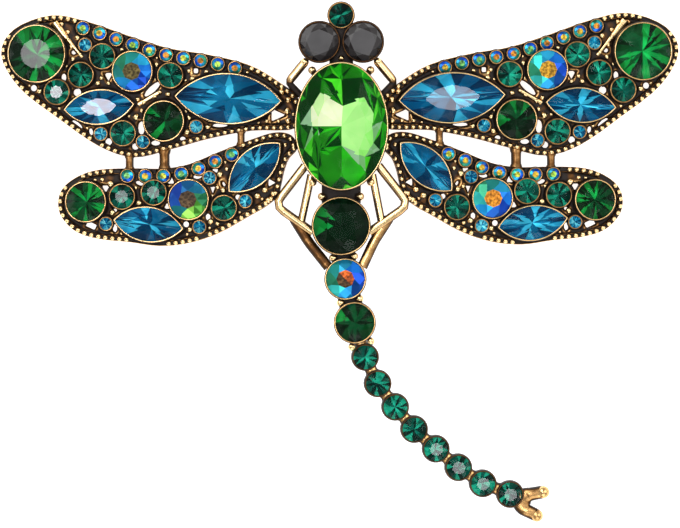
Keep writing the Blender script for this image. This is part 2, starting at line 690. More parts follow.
# %% Cut and colour every stone
# By a part of the node's name: width of the table as a share of the stone's, and number of mains.
TABLES = {"opal_stone": 0.46, "opal_row": 0.5, "eye": 0.64, "": 0.53}
MAINS = {"tip": 12, "thorax": 12, "navette": 10, "": 8}


def with_panes(stone, part, shade):
    """A cut stone whose back is taken off below the girdle and made of panes instead."""
    co, quads, tris, kinds, _ = part
    keep = kinds < LOWER_HALF
    kept_quads, kept_tris = quads[keep[:len(quads)]], tris[keep[len(quads):]]
    lower = quads[kinds[:len(quads)] == GIRDLE][:, 1]
    back, back_tris, back_shade = paned_back(stone, len(lower))
    index = np.concatenate([lower, len(co) + np.arange(len(back))])
    every = np.concatenate([kept_tris, index[back_tris]])
    used, place = np.unique(np.concatenate([kept_quads.ravel(), every.ravel()]), return_inverse=True)
    corners = np.concatenate([co, back])[used]
    cut = kept_quads.size
    kinds = np.concatenate([kinds[keep], np.full(len(back_tris), PANE)])
    part = (corners, place[:cut].reshape(-1, 4), place[cut:].reshape(-1, 3), kinds, None)
    return [part], [np.concatenate([shade[keep], back_shade])]


def quads_first(values, counts):
    """Values of several stones' faces in one row, those of all the quads before those of all triangles."""
    return np.concatenate([v[:n] for v, n in zip(values, counts)] + [v[n:] for v, n in zip(values, counts)])


def stone_piece(node):
    """Cuts every stone of a node into one piece with glass fronts and foiled backs."""
    slot, group = slot_of(node), stones[node]
    parts = [cut_stone(s, first_of(TABLES, node), first_of(MAINS, node)) for s in group]
    shades = [shades_of(node, s, slot, p[3], p[4]) for s, p in zip(group, parts)]
    if node == "thorax_stone":
        parts, shades = with_panes(group[0], parts[0], shades[0])
    starts = np.cumsum([0] + [len(p[0]) for p in parts[:-1]])
    quads, tris = (np.concatenate([p[k] + start for p, start in zip(parts, starts)]) for k in (1, 2))
    mesh = mesh_of(node + "_cut", np.concatenate([p[0] for p in parts]), quads, tris)
    mesh.shade_flat()
    counts = [len(p[1]) for p in parts]
    glossy = [np.full(len(p[3]), s["glossy"]) for s, p in zip(group, parts)]
    kinds, shade, glossy = (quads_first(v, counts) for v in ([p[3] for p in parts], shades, glossy))
    material = np.full(len(kinds), {"opal_glass": COATED, "black_glass": BLACK}.get(slot, FRONT))
    material[kinds >= LOWER_HALF] = FOIL
    material[(kinds == TABLE) & glossy] = GLOSSY
    if slot == "opal_glass":
        material[kinds == TABLE] = COATED_TABLE
    material[(kinds == PANE) & (shade.min(axis=1) > PALE_FROM)] = PALE
    mesh.polygons.foreach_set("material_index", material)
    mesh.attributes.new("shade", "FLOAT_VECTOR", "FACE").data.foreach_set("vector", shade.ravel())
    return add_piece(node + "_cut", mesh, gem_materials, slot, node)


cut_pieces = [stone_piece(n) for n in stones]
print("stones cut:", len(cut_pieces))

# %% [markdown]
# ## Where the wings and the tail lie
# The middle of the thorax's back is the origin of the body. Each wing droops about a line just inside
# the thorax, until its tip touches the floor, and the tail droops about the last stone of the abdomen.
# Both angles can be read from the axes of stones that sit there.

# %% The frames of body, wings and tail
# Heights over the casting's back, and measures of its cups and hinge lines, in mm.
SEAT_FLOOR = 0.4
RIM_HEIGHT = 1.4
CUP_OVER_RIM = 0.1
CULET_GAP = 0.05
LIP = 0.12
CUP_WALL = 0.24
HINGE_DEPTH = 0.6


def edge_height(stone):
    """Height of a stone's upper edge over the back of the casting."""
    return max(RIM_HEIGHT + CUP_OVER_RIM - LIP, SEAT_FLOOR + CULET_GAP + stone["pavilion"] + stone["girdle"])


thorax = stones["thorax_stone"][0]
origin = thorax["middle"] - [0, 0, edge_height(thorax)]
hinge_x = thorax["half"][1] - HINGE_DEPTH
droop = math.asin(abs(stones["right_upper_tip_stone"][0]["axis"][0]))
tail_axis = stones["tail_stone_8"][0]["axis"]
tail_way = unit(tail_axis[:2])
tail_droop = math.asin(np.linalg.norm(tail_axis[:2]))
tail_hinge = stones["abdomen_green_stone"][0]["middle"][:2] - [0, origin[1]]


def on_body(flat, z):
    """Points of the body, seen from the front, into the brooch."""
    z = np.broadcast_to(z, flat.shape[:-1])
    return np.concatenate([flat + [0, origin[1]], (z + origin[2])[..., None]], axis=-1)


def on_wing(side):
    """The same for a wing: its points turn down by the droop about its hinge, on the side given by +-1."""
    def place(flat, z):
        out = flat[..., 0] - hinge_x
        x = side * (hinge_x + out * math.cos(droop) + z * math.sin(droop))
        height = origin[2] - out * math.sin(droop) + z * math.cos(droop)
        return np.stack([x, flat[..., 1] + origin[1], height], axis=-1)
    return place


def on_tail(flat, z):
    """The same for the tail, which turns down about its hinge, away along its heading."""
    away = (flat - tail_hinge) @ tail_way
    shift = z * math.sin(tail_droop) - (1 - math.cos(tail_droop)) * away
    return on_body(flat + shift[..., None] * tail_way, z * math.cos(tail_droop) - away * math.sin(tail_droop))


print(f"droop of the wings {math.degrees(droop):.2f} and of the tail {math.degrees(tail_droop):.2f} degrees")

# %% [markdown]
# ## Settings
# Each stone sits in a cup with a thin lip pressed over its edge. The cup is one profile carried round
# the stone's edge, from the middle of the seat, under the stone, up the inside, over the lip, down
# the outside and back to the middle of the base. Only the lip is rubbed bright.

# %% A cup round a stone
CUP_BACK = 0.2
# The floor and the base close on small rings in their middles, which are this share of the edge.
INNER_SHARE = 0.05
BASE_POLISH = 0.6
# Columns: how far out of the stone's edge, height over that edge as (mm, share of the cup), polish.
CUP_PROFILE = [
    (0.03, -0.3, 0.0, 0.0), (0.03, -0.02, 0.0, 0.0), (-0.04, 0.05, 0.0, 0.3),
    (0.0, 0.1, 0.0, 0.9), (0.05, 0.12, 0.0, 1.0), (0.11, 0.1, 0.0, 0.7),
    (0.16, 0.02, 0.0, 0.1), (0.21, -0.12, 0.0, 0.0), (0.24, 0.0, -0.3, 0.05),
    (0.24, 0.0, -0.75, 0.1), (0.23, 0.06, -1.0, 0.35), (0.18, 0.0, -1.0, 0.6),
]


def cup(stone, around, shine):
    """The closed skin of a cup: the profile's distance moves the stone's edge outwards, ring by ring."""
    turns = (np.arange(around) + 0.5) * 2 * np.pi / around
    deep = edge_height(stone) - CUP_BACK
    inner = INNER_SHARE * edge_of(stone, turns)
    rings = [set_in(stone, inner, -stone["girdle"] - stone["pavilion"] - CULET_GAP)]
    rings += [set_in(stone, edge_of(stone, turns, out), z + share * deep) for out, z, share, _ in CUP_PROFILE]
    rings += [set_in(stone, inner, -deep)]
    polish = np.array([0.0] + [shine * p for *_, p in CUP_PROFILE] + [BASE_POLISH])[:, None]
    return skin(np.stack(rings), polish)


# Corners round a stone whose half length is over so many mm.
AROUND = {3.5: 72, 2: 44, 1.2: 30, 0: 20}
# How brightly a lip is rubbed: most round long stones, and least round the eyes and on the tail.
SHINE = {"long": 1.0, "round": 0.85, "small": 0.6, "dull": 0.35}


def shine_of(node):
    """The shine of the lips round the stones of a node."""
    a, b = stones[node][0]["half"]
    if "eye" in node or "tail" in node:
        return SHINE["dull"]
    return SHINE["long" if a > 1.2 * b else "round" if a > 2 else "small"]


def cups_round(node):
    """The cups of all stones of a node."""
    counts = [next(n for size, n in AROUND.items() if s["half"][0] > size) for s in stones[node]]
    return [cup(s, n, shine_of(node)) for s, n in zip(stones[node], counts)]


WING_NAMES = ("left_upper", "left_lower", "right_upper", "right_lower")
groups = {g: [n for n in stones if n.startswith(g)] for g in WING_NAMES}
groups["body"] = [n for n in stones if not n.startswith(WING_NAMES)]
for group, members in groups.items():
    metal_piece(group + "_settings", [c for n in members for c in cups_round(n)])

# %% [markdown]
# ## The outline of a wing
# A closed curve goes through a few points, given as shares of the wing's reach and height. The rim and
# its beads follow it, a little further in.

# %% Closed curves and even spacing
UPPER_SIZE = (48.5, 20.4)
LOWER_SIZE = (40.4, 16.6)
UPPER_OUTLINE = [
    [0.125, -0.01], [0.26, -0.03], [0.385, -0.084], [0.503, -0.16], [0.607, -0.212],
    [0.71, -0.135], [0.828, 0.057], [0.945, 0.275], [1, 0.51], [0.962, 0.69],
    [0.85, 0.788], [0.74, 0.74], [0.621, 0.642], [0.503, 0.554], [0.385, 0.507],
    [0.266, 0.434], [0.178, 0.313], [0.12, 0.19],
]
LOWER_OUTLINE = [
    [0.15, -0.19], [0.18, -0.28], [0.197, -0.39], [0.206, -0.49], [0.22, -0.6],
    [0.262, -0.69], [0.32, -0.77], [0.427, -0.914], [0.534, -1], [0.641, -1.025],
    [0.747, -0.99], [0.854, -0.962], [0.935, -0.9], [0.987, -0.775], [1, -0.644],
    [0.983, -0.52], [0.93, -0.42], [0.854, -0.362], [0.74, -0.352], [0.625, -0.355],
    [0.534, -0.318], [0.427, -0.214], [0.32, -0.116], [0.23, -0.05], [0.17, -0.075],
]


def closed_curve(points, steps):
    """A smooth closed curve through points: each span is a cubic of its two ends and their neighbours."""
    a, b, c, d = (np.roll(points, k, axis=0)[:, None] for k in (1, 0, -1, -2))
    t = (np.arange(steps) / steps)[None, :, None]
    return (0.5 * (2 * b + (c - a) * t + (2 * a - 5 * b + 4 * c - d) * t**2
                   + (3 * b - a - 3 * c + d) * t**3)).reshape(-1, 2)


def inwards(path):
    """The direction to the left of a closed path at each of its points."""
    return left_of(unit(np.roll(path, -1, axis=0) - np.roll(path, 1, axis=0)))


def spaced(path, count, start, stop):
    """Evenly spaced points of a closed path from one share of its length to another."""
    ring = np.concatenate([path, path[:1]])
    way = np.concatenate([[0], np.cumsum(np.linalg.norm(np.diff(ring, axis=0), axis=1))])
    at = np.linspace(start, stop, count) * way[-1]
    return np.stack([np.interp(at, way, ring[:, 0]), np.interp(at, way, ring[:, 1])], axis=-1)


def length(path):
    """Length of a closed path."""
    return np.linalg.norm(np.roll(path, -1, axis=0) - path, axis=1).sum()


# %% [markdown]
# ## Distances over the sheet
# The pierced sheet of a wing is a height over a fine grid. What shapes it are distances: to the
# outline, to the settings and to the gaps. A navette is the overlap of two discs, so its distance is
# the larger of the two.

# %% Distances to the outline, the settings and the gaps


def loop_distance(points, loop):
    """Distance to a closed loop, less than 0 inside it: the nearest of its sides, and how many of them
    a ray to the right crosses."""
    nearest, crossed = np.full(len(points), np.inf), np.zeros(len(points), int)
    for a, b in zip(loop, np.roll(loop, -1, axis=0)):
        side, out = b - a, points - a
        share = np.clip(out @ side / (side @ side), 0, 1)
        nearest = np.minimum(nearest, np.linalg.norm(out - share[:, None] * side, axis=1))
        spans = (a[1] > points[:, 1]) != (b[1] > points[:, 1])
        crossing = a[0] + out[:, 1] * (side[0] / (side[1] if side[1] else 1.0))
        crossed += spans & (points[:, 0] < crossing)
    return np.where(crossed % 2 == 1, -nearest, nearest)


def flat_place(stone):
    """Middle and long direction of a stone of the right wing in the plane of the wing."""
    turn = np.array([[math.cos(droop), 0, -math.sin(droop)], [0, 1, 0]])
    middle = turn @ (stone["middle"] - origin - [hinge_x - origin[0], 0, 0])
    return middle + [hinge_x, 0], unit(turn @ stone["along"])


def setting_distance(points, stone):
    """Distance to the outside of a setting, less than 0 inside it."""
    middle, along = flat_place(stone)
    local = (points - middle) @ np.stack([along, left_of(along)], axis=1)
    if not stone["navette"]:
        return np.linalg.norm(local, axis=1) - stone["half"][1] - CUP_WALL
    radius, offset = arc_of(stone)
    arcs = [np.linalg.norm(local - [0, s * offset], axis=1) for s in (-1, 1)]
    return np.maximum(*arcs) - radius - CUP_WALL


def nearest_setting(points, wing_stones):
    """Distance to the nearest setting."""
    return np.min([setting_distance(points, s) for s in wing_stones], axis=0)


def gap_loop(gap, size):
    """The corners of a gap from its middle, length and width as shares of the height, turn and count."""
    (x, y), long, wide, turn, corners = gap
    a = (np.arange(corners) + 0.5) * 2 * np.pi / corners
    c, s = math.cos(math.radians(turn)), math.sin(math.radians(turn))
    local = np.stack([long / 2 * np.cos(a), wide / 2 * np.sin(a)], axis=-1) * size[1]
    return local @ np.array([[c, s], [-s, c]]) + [x * size[0], y * size[1]]


def nearest_gap(points, gaps, size):
    """Distance to the nearest gap."""
    return np.min([loop_distance(points, gap_loop(g, size)) for g in gaps], axis=0)


# Columns: [x, y], length and width as shares of the height, turn, corners.
UPPER_GAPS = [
    [[0.841, 0.7], 0.05, 0.045, 0, 3], [[0.815, 0.35], 0.056, 0.035, 90, 10],
    [[0.904, 0.277], 0.045, 0.045, 0, 8], [[0.775, 0.245], 0.056, 0.056, 0, 8],
    [[0.683, 0.361], 0.075, 0.07, 90, 3], [[0.586, -0.006], 0.095, 0.046, 90, 10],
    [[0.683, -0.101], 0.049, 0.049, 0, 8], [[0.604, -0.134], 0.049, 0.049, 0, 8],
    [[0.544, -0.111], 0.063, 0.035, 0, 10], [[0.464, -0.083], 0.042, 0.03, 0, 8],
    [[0.553, 0.266], 0.15, 0.045, -42, 10], [[0.424, 0.392], 0.045, 0.045, 0, 4],
    [[0.187, 0.08], 0.13, 0.1, 0, 3], [[0.354, 0.011], 0.11, 0.026, 0, 10],
    [[0.776, 0.021], 0.09, 0.03, 38, 10], [[0.735, -0.03], 0.05, 0.028, 80, 8],
    [[0.785, 0.525], 0.035, 0.03, 0, 8],
]
LOWER_GAPS = [
    [[0.831, -0.521], 0.08, 0.08, 90, 3], [[0.613, -0.684], 0.07, 0.07, -90, 3],
    [[0.546, -0.837], 0.052, 0.052, 0, 8], [[0.798, -0.714], 0.031, 0.031, 0, 8],
    [[0.709, -0.482], 0.08, 0.035, 15, 10], [[0.6, -0.463], 0.09, 0.08, -90, 3],
    [[0.504, -0.426], 0.078, 0.04, -10, 10], [[0.451, -0.534], 0.08, 0.05, 90, 3],
    [[0.442, -0.373], 0.048, 0.048, 0, 8], [[0.411, -0.495], 0.06, 0.022, 60, 8],
    [[0.362, -0.605], 0.045, 0.045, 0, 8], [[0.468, -0.775], 0.06, 0.043, 90, 8],
    [[0.245, -0.482], 0.08, 0.08, 0, 3], [[0.883, -0.843], 0.12, 0.065, 25, 4],
    [[0.799, -0.867], 0.07, 0.04, 90, 8],
]

# %% [markdown]
# ## The pierced sheet
# Grid points that lie within half a cell of an edge are moved onto it, so the edges come out smooth.
# The top swells between the gaps like soft wire and sinks into a groove round each setting, where the
# patina stays. The bottom is flat, and a wall joins the two along every edge.

# %% Cells of the sheet over a grid
GRID = 0.15
RIM_WIDTH = 0.85
# Where the square of the field's slope is less than this, two edges meet half way: nothing is moved.
LEAST_STEEP = 0.1


def even_grid(outline, pitch, past=0.0):
    """Points of a grid over an outline, up to its far side or a little past it."""
    low, high = outline.min(axis=0), outline.max(axis=0)
    xs, ys = (np.arange(low[k], high[k] + past, pitch) for k in (0, 1))
    return np.stack(np.meshgrid(xs, ys, indexing="ij"), axis=-1)


def cells_inside(grid, inside):
    """The cells of a grid that lie inside, whole or as the half with three corners. Returns their
    corners, those corners' numbers in the grid, and the four-sided and three-sided faces."""
    slope = np.stack(np.gradient(inside, GRID), axis=-1)
    steep = (slope**2).sum(axis=-1)
    close = (np.abs(inside) < GRID / 2) & (steep > LEAST_STEEP)
    step = (inside / np.maximum(steep, LEAST_STEEP))[..., None] * slope
    moved = np.where(close[..., None], grid - step, grid)
    kept = close | (inside > 0)
    number = np.arange(kept.size).reshape(kept.shape)
    cells = faces(number[:-1, :-1], number[1:, :-1], number[1:, 1:], number[:-1, 1:]).reshape(-1, 4)
    full = kept.ravel()[cells]
    three = full.sum(axis=1) == 3
    quads, tris = cells[full.all(axis=1)].ravel(), cells[three][full[three]]
    used, renumbered = np.unique(np.concatenate([quads, tris]), return_inverse=True)
    quads, tris = renumbered[:len(quads)].reshape(-1, 4), renumbered[len(quads):].reshape(-1, 3)
    return moved.reshape(-1, 2)[used], used, quads, tris


# %% Height and polish of the sheet
SHEET_BACK = 0.1
SHEET_TOP = 1.0
SHEET_LOW = SHEET_TOP - 0.28
# Heights of the swell between gaps and of the waves, depth of the grooves, then widths.
SWELL, WAVE, GROOVE = 0.34, 0.06, 0.2
SWELL_WIDTH, GROOVE_WIDTH = 0.2, 0.16
# The gold is worn bright on a ridge beside each gap, in patches.
RIDGE_PLACE, RIDGE_WIDTH = 0.28, 0.18
DULL, WORN, PATCHY, SHEET_BACK_POLISH = 0.12, 0.6, 0.22, 0.55


def lumps(x, y):
    """Gentle unevenness between -1 and 1, from a few crossing waves."""
    return (np.sin(1.9 * x + 2.3 * np.sin(0.8 * y)) + np.sin(2.3 * y + 1.7 * np.sin(1.1 * x + 1))
            + np.sin(3.1 * x - 2.6 * y)) / 3


def sheet(outline, size, gaps, wing_stones, place):
    """The sheet as a closed shape: a field of distances on a grid, its cells where they lie inside,
    then a height and a polish from those distances."""
    grid = even_grid(outline, GRID, GRID)
    points = grid.reshape(-1, 2)
    gap = nearest_gap(points, gaps, size)
    setting = nearest_setting(points, wing_stones)
    rim = -loop_distance(points, outline)
    inside = np.min([gap, setting + CUP_WALL / 2, rim - RIM_WIDTH / 2], axis=0).reshape(grid.shape[:2])
    flat, used, quads, tris = cells_inside(grid, inside)
    gap, setting, rim = (np.maximum(d[used], 0) for d in (gap, setting, rim - RIM_WIDTH))
    wave = lumps(*flat.T)
    swell = 1 - np.exp(-(gap / SWELL_WIDTH) ** 2)
    groove = np.exp(-setting / GROOVE_WIDTH) + np.exp(-rim / GROOVE_WIDTH)
    ridge = np.exp(-((gap - RIDGE_PLACE) / RIDGE_WIDTH) ** 2)
    top = SHEET_LOW + SWELL * swell - GROOVE * np.minimum(groove, 1) + WAVE * wave
    polish = (DULL + WORN * ridge) * (1 - np.minimum(1.2 * groove, 1)) + PATCHY * wave
    return closed_sheet(flat, quads, tris, top, polish, place)


def closed_sheet(flat, quads, tris, top, polish, place):
    """Top and flat bottom of a sheet, joined along the sides that belong to one face only."""
    count = len(flat)
    sides = np.concatenate([quads[:, [k, (k + 1) % 4]] for k in range(4)]
                           + [tris[:, [k, (k + 1) % 3]] for k in range(3)])
    key = np.sort(sides, axis=1) @ [count, 1]
    _, first, times = np.unique(key, return_index=True, return_counts=True)
    a, b = sides[first[times == 1]].T
    walls = faces(b, a, a + count, b + count)
    return {
        "co": np.concatenate([place(flat, top), place(flat, SHEET_BACK)]),
        "quads": np.concatenate([quads, quads[:, ::-1] + count, walls]),
        "tris": np.concatenate([tris, tris[:, ::-1] + count]),
        "polish": np.concatenate([polish, np.full(count, SHEET_BACK_POLISH)]),
    }


# %% [markdown]
# ## Rim and beads
# The rim is one profile carried round the outline: a bright edge line, a dark channel and a low inner
# wall. Where it runs through a setting it ducks below the stone. A row of beads sits in the channel.

# %% The rim and its beads
# Columns: distance from the outline, height, polish.
RIM_PROFILE = [
    (0.03, 0.03, 0.3), (0.02, 0.6, 0.2), (0.02, 1.15, 0.3), (0.04, 1.26, 0.7), (0.08, 1.3, 0.75),
    (0.13, 1.25, 0.4), (0.17, 1.1, 0.05), (0.42, 1.05, 0.0), (0.66, 1.1, 0.0), (0.71, 1.18, 0.3),
    (0.77, 1.2, 0.5), (0.83, 1.12, 0.2), (0.85, 0.9, 0.0), (0.84, 0.03, 0.3),
]
RIM_STEP = 0.3
# Height of the rim where it runs through a setting, and how far from a setting it is dull.
DUCKED = 0.3
DULL_BESIDE = 0.15
BEAD_RADIUS = 0.35
BEAD_PITCH = 1.0
BEAD_GAP = 0.02
# Shares of the outline: what stays free beside the row of tiny stones, and where the beads end.
ROW_ROOM = 0.014
LAST_BEAD = 0.995
ROW_OVERLAP = 0.05


def rim(outline, wing_stones, place):
    """The rim's rings: the profile's distances move the outline inwards."""
    path = spaced(outline, int(length(outline) / RIM_STEP) + 1, 0, 1)[:-1]
    normal = inwards(path)
    rings, polish = [], []
    for inset, height, bright in RIM_PROFILE:
        flat = path + inset * normal
        clear = nearest_setting(flat, wing_stones) + CUP_WALL / 2
        rings.append(place(flat, np.where(clear < 0, np.minimum(height, DUCKED), height)))
        polish.append(bright * np.clip(clear / DULL_BESIDE, 0.2, 1))
    return skin(np.stack(rings, axis=1), np.stack(polish, axis=1), hoop=True)


def ball(rings, around):
    """A small ball of the given numbers of rings and corners, bright on top and dark below."""
    tilt = (np.arange(rings) + 0.5) / rings * np.pi
    turn = np.arange(around) / around * 2 * np.pi
    out = np.sin(tilt)[:, None]
    co = np.stack([out * np.cos(turn), out * np.sin(turn), np.cos(tilt)[:, None] + 0 * turn], axis=-1)
    shape = skin(co, np.clip(0.6 + 0.8 * co[..., 2], 0, 1))
    shape["co"][-2:] = [[0, 0, 1], [0, 0, -1]]
    shape["polish"][-2:] = [1, 0]
    return shape


GRAIN = ball(7, 12)


def clear_of_settings(points, wing_stones, margin):
    """The points further than a margin from every setting."""
    return points[nearest_setting(points, wing_stones) > margin]


def beads_of(outline, row, wing_stones):
    """Places of the beads along the rim, which stop beside the row of tiny stones."""
    path = outline + RIM_WIDTH / 2 * inwards(outline)
    _, start, stop = row
    spans = [(0, start - ROW_ROOM), (stop + ROW_ROOM, LAST_BEAD)]
    counts = [1 + int(length(path) * (b - a) / BEAD_PITCH) for a, b in spans]
    places = np.concatenate([spaced(path, n, a, b) for n, (a, b) in zip(counts, spans)])
    return clear_of_settings(places, wing_stones, BEAD_RADIUS + BEAD_GAP)


def notches_of(outline, row, wing_stones):
    """Places beside the row of tiny stones, where two of them meet: outside on the rim and inside."""
    inset = min(s["half"][0] for s in wing_stones) + CUP_WALL - ROW_OVERLAP
    places = spaced(outline + inset * inwards(outline), *row)
    out = (inset - RIM_WIDTH / 2) * left_of(unit(np.diff(places, axis=0)))
    middles = (places[1:] + places[:-1]) / 2
    both = np.concatenate([middles + out, middles - out])
    return clear_of_settings(both, wing_stones, BEAD_RADIUS + BEAD_GAP)


# %% Small grains on the open parts of the sheet
GRAIN_RADIUS = 0.5
FILL_PITCH = 0.55
FILL_SHIFT = 0.2
FILL_APART = 0.95
FILL_ROOM = 0.27
FILL_LARGEST = 0.36
FILL_SHARE = 0.85


def fill_of(outline, size, gaps, wing_stones, taken):
    """Places and radii of small grains: points of a coarse grid that have room, the roomiest first,
    each kept if it is far enough from those kept before."""
    points = even_grid(outline, FILL_PITCH).reshape(-1, 2)
    points = points + rng.uniform(-FILL_SHIFT, FILL_SHIFT, points.shape)
    room = np.min([nearest_gap(points, gaps, size), nearest_setting(points, wing_stones),
                   -loop_distance(points, outline) - RIM_WIDTH]
                  + [np.linalg.norm(points - t, axis=1) - GRAIN_RADIUS for t in taken], axis=0)
    points, room = points[room > FILL_ROOM], room[room > FILL_ROOM]
    kept = []
    for k in np.argsort(-room):
        if all(np.linalg.norm(points[k] - points[j]) > FILL_APART for j in kept):
            kept.append(k)
    return points[kept], np.minimum(FILL_LARGEST, FILL_SHARE * room[kept])


# %% [markdown]
# ## Bars
# Strips, links, legs and the fork are bars with a rounded top, carried along a bent line. Cutting the
# corners of the line, and then the corners that this leaves, rounds its bends.

# %% Bars along a bent line
# Columns: distance from the middle as a share of half the width, share of the height, polish.
BAR_PROFILE = [
    (-1, 0, 0.1), (-1, 0.5, 0.05), (-0.88, 0.76, 0.25), (-0.6, 0.93, 0.85), (-0.2, 1, 1),
    (0.2, 1, 1), (0.6, 0.93, 0.85), (0.88, 0.76, 0.25), (1, 0.5, 0.05), (1, 0, 0.1),
]
# Share of the sides beside a corner that the first, second and third cut take away.
CORNER_CUTS = (0.12, 0.12, 0.16)


def rounded(line, times):
    """Cuts every inner corner of a line as often as told."""
    for near in CORNER_CUTS[:times]:
        first, second = line[:-1], line[1:]
        cut = np.stack([(1 - near) * first + near * second, near * first + (1 - near) * second], axis=1)
        line = np.concatenate([line[:1], cut.reshape(-1, 2)[1:-1], line[-1:]])
    return line


def spread(values, count):
    """One value, or a few that are spread evenly along a bar, at each of its points."""
    return np.interp(np.linspace(0, 1, count), np.linspace(0, 1, np.size(values)), np.atleast_1d(values))


def bar(line, width, bottom, top, place, shine=1.0, bends=2):
    """A bar along a line; its width, top and shine may change along it."""
    line = rounded(np.asarray(line, float), bends)
    across = left_of(unit(np.gradient(line, axis=0)))
    width, top, shine = (spread(v, len(line)) for v in (width, top, shine))
    rings = [place(line + out * width[:, None] / 2 * across, bottom + high * (top - bottom))
             for out, high, _ in BAR_PROFILE]
    return skin(np.stack(rings, axis=1), shine[:, None] * np.array([p for *_, p in BAR_PROFILE]))


# %% Build the wings
# Strips are lines. Grains are a place and a share of the usual radius. Places are shares of the size.
UPPER_STRIPS = [
    [[0.593, 0.158], [0.527, 0.249]],
    [[0.841, 0.735], [0.818, 0.658], [0.797, 0.602], [0.759, 0.49]],
]
UPPER_GRAINS = [
    [[0.773, 0.628], 0.8], [[0.819, 0.725], 0.7], [[0.787, 0.48], 0.8],
    [[0.713, 0.308], 0.85], [[0.681, 0.308], 0.75], [[0.886, 0.258], 0.9],
    [[0.6, 0.071], 1.05], [[0.505, 0.228], 0.85], [[0.443, 0.067], 0.85],
    [[0.45, -0.035], 0.95], [[0.388, 0], 0.8], [[0.539, 0.438], 0.75],
    [[0.433, 0.336], 0.9], [[0.443, 0.391], 0.7], [[0.153, 0.109], 1.1],
    [[0.17, 0.24], 0.95], [[0.15, 0.185], 0.95], [[0.15, 0.04], 0.9],
]
LOWER_GRAINS = [
    [[0.812, -0.486], 1.1], [[0.711, -0.654], 1], [[0.806, -0.733], 0.95],
    [[0.531, -0.88], 0.85], [[0.457, -0.812], 0.9], [[0.423, -0.409], 1],
    [[0.412, -0.545], 0.9], [[0.291, -0.594], 1], [[0.264, -0.542], 1],
    [[0.252, -0.631], 0.85], [[0.234, -0.577], 0.85],
]
GRAIN_HEIGHT = 1.3
NOTCH_HEIGHT, NOTCH_RADIUS = 1.25, 0.33
FILL_RAISED = 0.3
STRIP = {"bottom": 0.25, "top": 1.35}
STRIP_WIDTHS = [0.85, [1.45, 1.2, 0.9, 0.7]]
HANDS = ((-1, "left"), (1, "right"))
# The fifth entry is the row of tiny stones: how many, and its ends as shares of the outline.
WINGS = {
    "upper": (UPPER_OUTLINE, UPPER_SIZE, UPPER_GAPS, UPPER_GRAINS, (10, 0.63, 0.869), UPPER_STRIPS),
    "lower": (LOWER_OUTLINE, LOWER_SIZE, LOWER_GAPS, LOWER_GRAINS, (7, 0.674, 0.879), []),
}
outlines = {wing: closed_curve(np.array(entry[0]) * entry[1], 4) for wing, entry in WINGS.items()}
for wing, (_, size, gaps, grain_table, row, strips) in WINGS.items():
    outline = outlines[wing]
    wing_stones = [s for n in stones if n.startswith("right_" + wing) for s in stones[n]]
    beads = beads_of(outline, row, wing_stones)
    notches = notches_of(outline, row, wing_stones)
    middles = np.array([g[0] for g in grain_table]) * size
    radii = GRAIN_RADIUS * np.array([g[1] for g in grain_table])
    extra, extra_radii = fill_of(outline, size, gaps, wing_stones, middles)
    print(f"{wing} wing: {len(beads)} beads, {len(notches)} in notches, {len(extra)} small grains")
    for side, hand in HANDS:
        place = on_wing(side)
        metal_piece(f"{hand}_{wing}_sheet", [sheet(outline, size, gaps, wing_stones, place)])
        metal_piece(f"{hand}_{wing}_rim", [
            rim(outline, wing_stones, place),
            copies(GRAIN, place(beads, RIM_HEIGHT), BEAD_RADIUS),
            copies(GRAIN, place(notches, NOTCH_HEIGHT), NOTCH_RADIUS),
            copies(GRAIN, place(middles, GRAIN_HEIGHT), radii),
            copies(GRAIN, place(extra, SHEET_TOP + FILL_RAISED * extra_radii), extra_radii),
        ] + [bar(np.array(s) * size, wide, place=place, **STRIP) for s, wide in zip(strips, STRIP_WIDTHS)])

# %% The bars between the wings
# Columns: place as a share of the lower wing's reach, width.
LINKS = [(0.35, 1.0), (0.622, 1.4), (0.746, 1.1)]
LINK_END, LINK_FLARE = 0.5, 0.5
LINK = {"bottom": 0.15, "top": [1.2, 1.3, 1.3, 1.2], "shine": 0.5, "bends": 1}


def edge_at(stretch, x):
    """Height of a stretch of an outline at a distance from the body."""
    stretch = stretch[np.argsort(stretch[:, 0])]
    return np.interp(x, stretch[:, 0], stretch[:, 1])


for side, hand in HANDS:
    bars = []
    for share, width in LINKS:
        x = share * LOWER_SIZE[0]
        # The stretches are the upper wing's lower edge and the lower wing's upper edge.
        low = edge_at(outlines["lower"][-36:], x) - LINK_END
        high = edge_at(outlines["upper"][:24], x) + LINK_END
        line = np.stack([np.full(5, x), np.linspace(low, high, 5)], axis=-1)
        bars.append(bar(line, width + LINK_FLARE * np.array([1, 0, 0, 0, 1]), place=on_wing(side), **LINK))
    metal_piece(f"{hand}_links", bars)

# %% [markdown]
# ## Body and tail
# Straps join the settings of the body. The legs are bent bars that spring from the setting of the
# thorax, and the tail's settings hang on a strap that swells at each of them and ends in a fork.

# %% Places on the body


def flat_middle(name):
    """Middle of a stone of the body in the plane of the body."""
    return stones[name][0]["middle"][:2] - [0, origin[1]]


def way(degrees):
    """The direction at an angle."""
    return np.array([math.cos(math.radians(degrees)), math.sin(math.radians(degrees))])


def reach_of(name):
    """Radius of the setting of a round stone."""
    return stones[name][0]["half"][0] + CUP_WALL


centre_x = thorax["middle"][0]
OVAL_HALF = (thorax["half"][1] + CUP_WALL, thorax["half"][0] + CUP_WALL)


def round_thorax(degrees, out):
    """A point outside the setting of the thorax."""
    return np.array([centre_x, 0]) + way(degrees) * (np.array(OVAL_HALF) + out)


def round_stone(name, degrees, out):
    """A point outside the setting of a round stone of the body."""
    return flat_middle(name) + way(degrees) * (reach_of(name) + out)


